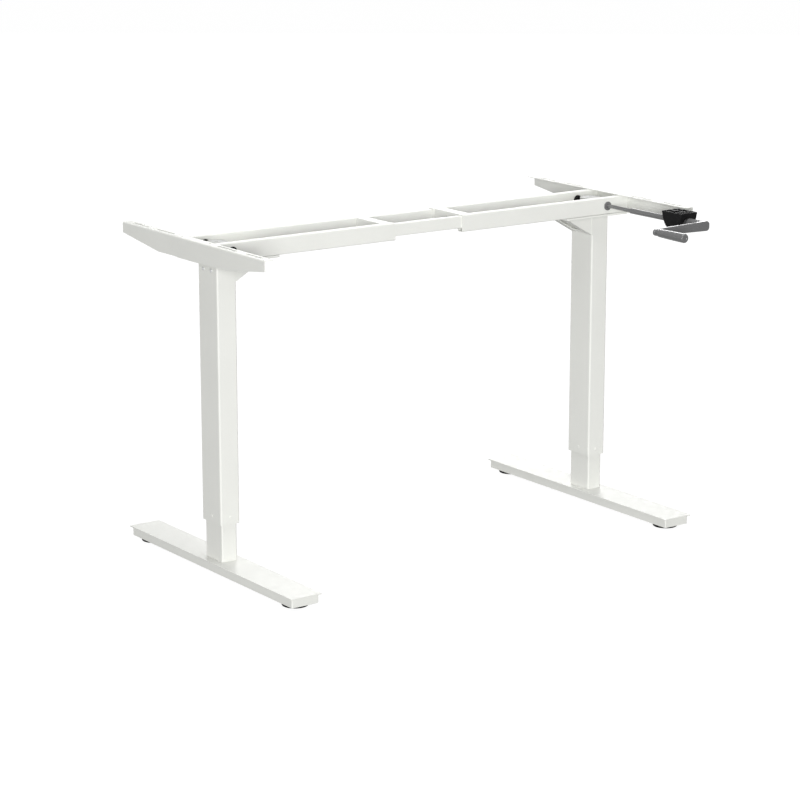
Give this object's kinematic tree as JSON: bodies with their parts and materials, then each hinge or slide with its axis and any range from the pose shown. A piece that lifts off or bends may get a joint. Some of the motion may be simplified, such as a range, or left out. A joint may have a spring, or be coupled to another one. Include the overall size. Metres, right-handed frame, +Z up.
{
  "type": "height adjustable standing desk frame",
  "caption": "White steel desk frame on flat feet, with telescoping columns and rails and a hand crank that raises it. It has no tabletop.",
  "frame": {"origin": "on the floor, under the centre of the whole object's bounding box, crank included", "axes": "+X along the rails to the right, +Z up; the crank points to -Y, where the user sits"},
  "size_m": [1.2, 0.867, 0.7695],
  "materials": {
    "powder_white": "white powder coat",
    "zinc_steel": "zinc plated",
    "dark_steel": "dark, oiled",
    "cast_aluminium": "die cast",
    "crank_grey": "dark grey paint",
    "black_plastic": "fine grain",
    "nylon": "smooth",
    "brass_nut": "turned"
  },
  "bodies": {
    "left_base": {"left_foot_plate": "powder_white", "left_foot_channel": "powder_white", "left_inner_tube": "powder_white", "left_upper_glide": "nylon", "left_spindle_nut": "brass_nut"},
    "left_frame": {"left_outer_tube": "powder_white", "left_lower_glide": "nylon", "left_head_plate": "powder_white", "left_gusset": "powder_white", "left_side_bracket": "powder_white", "left_front_sleeve": "powder_white", "left_back_sleeve": "powder_white", "left_cross_tie": "powder_white", "left_gearbox_housing": "cast_aluminium", "left_gearbox_cover": "cast_aluminium", "left_front_column_screw": "zinc_steel", "left_back_column_screw": "zinc_steel"},
    "left_screw": {"left_spindle": "zinc_steel", "left_bevel_wheel": "dark_steel"},
    "left_shaft": {"cross_rod": "zinc_steel", "left_shaft_pinion": "dark_steel"},
    "centre_rails": {"front_inner_rail": "powder_white", "back_inner_rail": "powder_white"},
    "right_frame": {"right_outer_tube": "powder_white", "right_lower_glide": "nylon", "right_head_plate": "powder_white", "right_gusset": "powder_white", "right_side_bracket": "powder_white", "right_front_sleeve": "powder_white", "right_back_sleeve": "powder_white", "right_cross_tie": "powder_white", "right_gearbox_housing": "cast_aluminium", "right_gearbox_cover": "cast_aluminium", "right_front_column_screw": "zinc_steel", "right_back_column_screw": "zinc_steel", "crank_rail_bush": "crank_grey", "crank_holder": "black_plastic"},
    "right_screw": {"right_spindle": "zinc_steel", "right_bevel_wheel": "dark_steel"},
    "right_shaft": {"cross_tube": "zinc_steel", "right_shaft_pinion": "dark_steel"},
    "crank_shaft": {"crank_rod": "crank_grey", "crank_pinion": "dark_steel"},
    "crank_handle": {"crank_tube": "crank_grey", "crank_arm": "crank_grey", "crank_grip_pin": "zinc_steel"},
    "turning_grip": {"crank_grip": "crank_grey"},
    "right_base": {"right_foot_plate": "powder_white", "right_foot_channel": "powder_white", "right_inner_tube": "powder_white", "right_upper_glide": "nylon", "right_spindle_nut": "brass_nut"},
    "left_front_pad": {"left_front_leveler_pad": "black_plastic"},
    "left_front_stud": {"left_front_leveler_stud": "zinc_steel"},
    "left_back_pad": {"left_back_leveler_pad": "black_plastic"},
    "left_back_stud": {"left_back_leveler_stud": "zinc_steel"},
    "right_front_pad": {"right_front_leveler_pad": "black_plastic"},
    "right_front_stud": {"right_front_leveler_stud": "zinc_steel"},
    "right_back_pad": {"right_back_leveler_pad": "black_plastic"},
    "right_back_stud": {"right_back_leveler_stud": "zinc_steel"}
  },
  "joints": [
    {"name": "lift_left", "type": "slide", "parent": "left_base", "child": "left_frame", "axis": [0, 0, 1], "range_m": [-0.0801, 0.3601]},
    {"name": "left_spindle_turn", "type": "hinge", "parent": "left_frame", "child": "left_screw", "pos_m": [-0.533, 0.0835, 0.747], "axis": [0, 0, 1], "range_deg": [-8110, 1810]},
    {"name": "left_shaft_turn", "type": "hinge", "parent": "left_frame", "child": "left_shaft", "pos_m": [-0.533, 0.0835, 0.747], "axis": [1, 0, 0], "range_deg": [-16210, 3610]},
    {"name": "width", "type": "slide", "parent": "left_frame", "child": "centre_rails", "axis": [1, 0, 0], "range_m": [-0.09, 0.2]},
    {"name": "width_right", "type": "slide", "parent": "centre_rails", "child": "right_frame", "axis": [1, 0, 0], "range_m": [-0.0901, 0.2001]},
    {"name": "right_spindle_turn", "type": "hinge", "parent": "right_frame", "child": "right_screw", "pos_m": [0.533, 0.0835, 0.747], "axis": [0, 0, 1], "range_deg": [-1810, 8110]},
    {"name": "right_shaft_turn", "type": "hinge", "parent": "right_frame", "child": "right_shaft", "pos_m": [0.533, 0.0835, 0.747], "axis": [1, 0, 0], "range_deg": [-16210, 3610]},
    {"name": "crank_turn", "type": "hinge", "parent": "right_frame", "child": "crank_shaft", "pos_m": [0.533, 0.0835, 0.747], "axis": [0, -1, 0], "range_deg": [-3600, 16200]},
    {"name": "crank_reach", "type": "slide", "parent": "crank_shaft", "child": "crank_handle", "axis": [0, -1, 0], "range_m": [0, 0.11]},
    {"name": "grip_spin", "type": "hinge", "parent": "crank_handle", "child": "turning_grip", "pos_m": [0.385, -0.3375, 0.747], "axis": [0, -1, 0], "continuous": true},
    {"name": "lift_right", "type": "slide", "parent": "right_frame", "child": "right_base", "axis": [0, 0, -1], "range_m": [-0.0801, 0.3601]},
    {"name": "left_front_leveler_drop", "type": "slide", "parent": "left_base", "child": "left_front_pad", "axis": [0, 0, -1], "range_m": [0, 0.01]},
    {"name": "left_front_stud_turn", "type": "hinge", "parent": "left_front_pad", "child": "left_front_stud", "pos_m": [-0.533, -0.2205, 0], "axis": [0, 0, -1], "range_deg": [0, 2909]},
    {"name": "left_back_leveler_drop", "type": "slide", "parent": "left_base", "child": "left_back_pad", "axis": [0, 0, -1], "range_m": [0, 0.01]},
    {"name": "left_back_stud_turn", "type": "hinge", "parent": "left_back_pad", "child": "left_back_stud", "pos_m": [-0.533, 0.3875, 0], "axis": [0, 0, -1], "range_deg": [0, 2909]},
    {"name": "right_front_leveler_drop", "type": "slide", "parent": "right_base", "child": "right_front_pad", "axis": [0, 0, -1], "range_m": [0, 0.01]},
    {"name": "right_front_stud_turn", "type": "hinge", "parent": "right_front_pad", "child": "right_front_stud", "pos_m": [0.533, -0.2205, 0], "axis": [0, 0, -1], "range_deg": [0, 2909]},
    {"name": "right_back_leveler_drop", "type": "slide", "parent": "right_base", "child": "right_back_pad", "axis": [0, 0, -1], "range_m": [0, 0.01]},
    {"name": "right_back_stud_turn", "type": "hinge", "parent": "right_back_pad", "child": "right_back_stud", "pos_m": [0.533, 0.3875, 0], "axis": [0, 0, -1], "range_deg": [0, 2909]}
  ],
  "couplings": [
    {"joint": "lift_left", "follows": "crank_turn", "m_per_rad": 0.0012732},
    {"joint": "lift_right", "follows": "crank_turn", "m_per_rad": 0.0012732},
    {"joint": "left_spindle_turn", "follows": "crank_turn", "ratio": -0.5},
    {"joint": "right_spindle_turn", "follows": "crank_turn", "ratio": 0.5},
    {"joint": "left_shaft_turn", "follows": "crank_turn", "ratio": -1},
    {"joint": "right_shaft_turn", "follows": "crank_turn", "ratio": -1},
    {"joint": "width_right", "follows": "width", "ratio": 1},
    {"joint": "left_front_stud_turn", "follows": "left_front_leveler_drop", "rad_per_m": 5026.5},
    {"joint": "left_back_stud_turn", "follows": "left_back_leveler_drop", "rad_per_m": 5026.5},
    {"joint": "right_front_stud_turn", "follows": "right_front_leveler_drop", "rad_per_m": 5026.5},
    {"joint": "right_back_stud_turn", "follows": "right_back_leveler_drop", "rad_per_m": 5026.5}
  ]
}
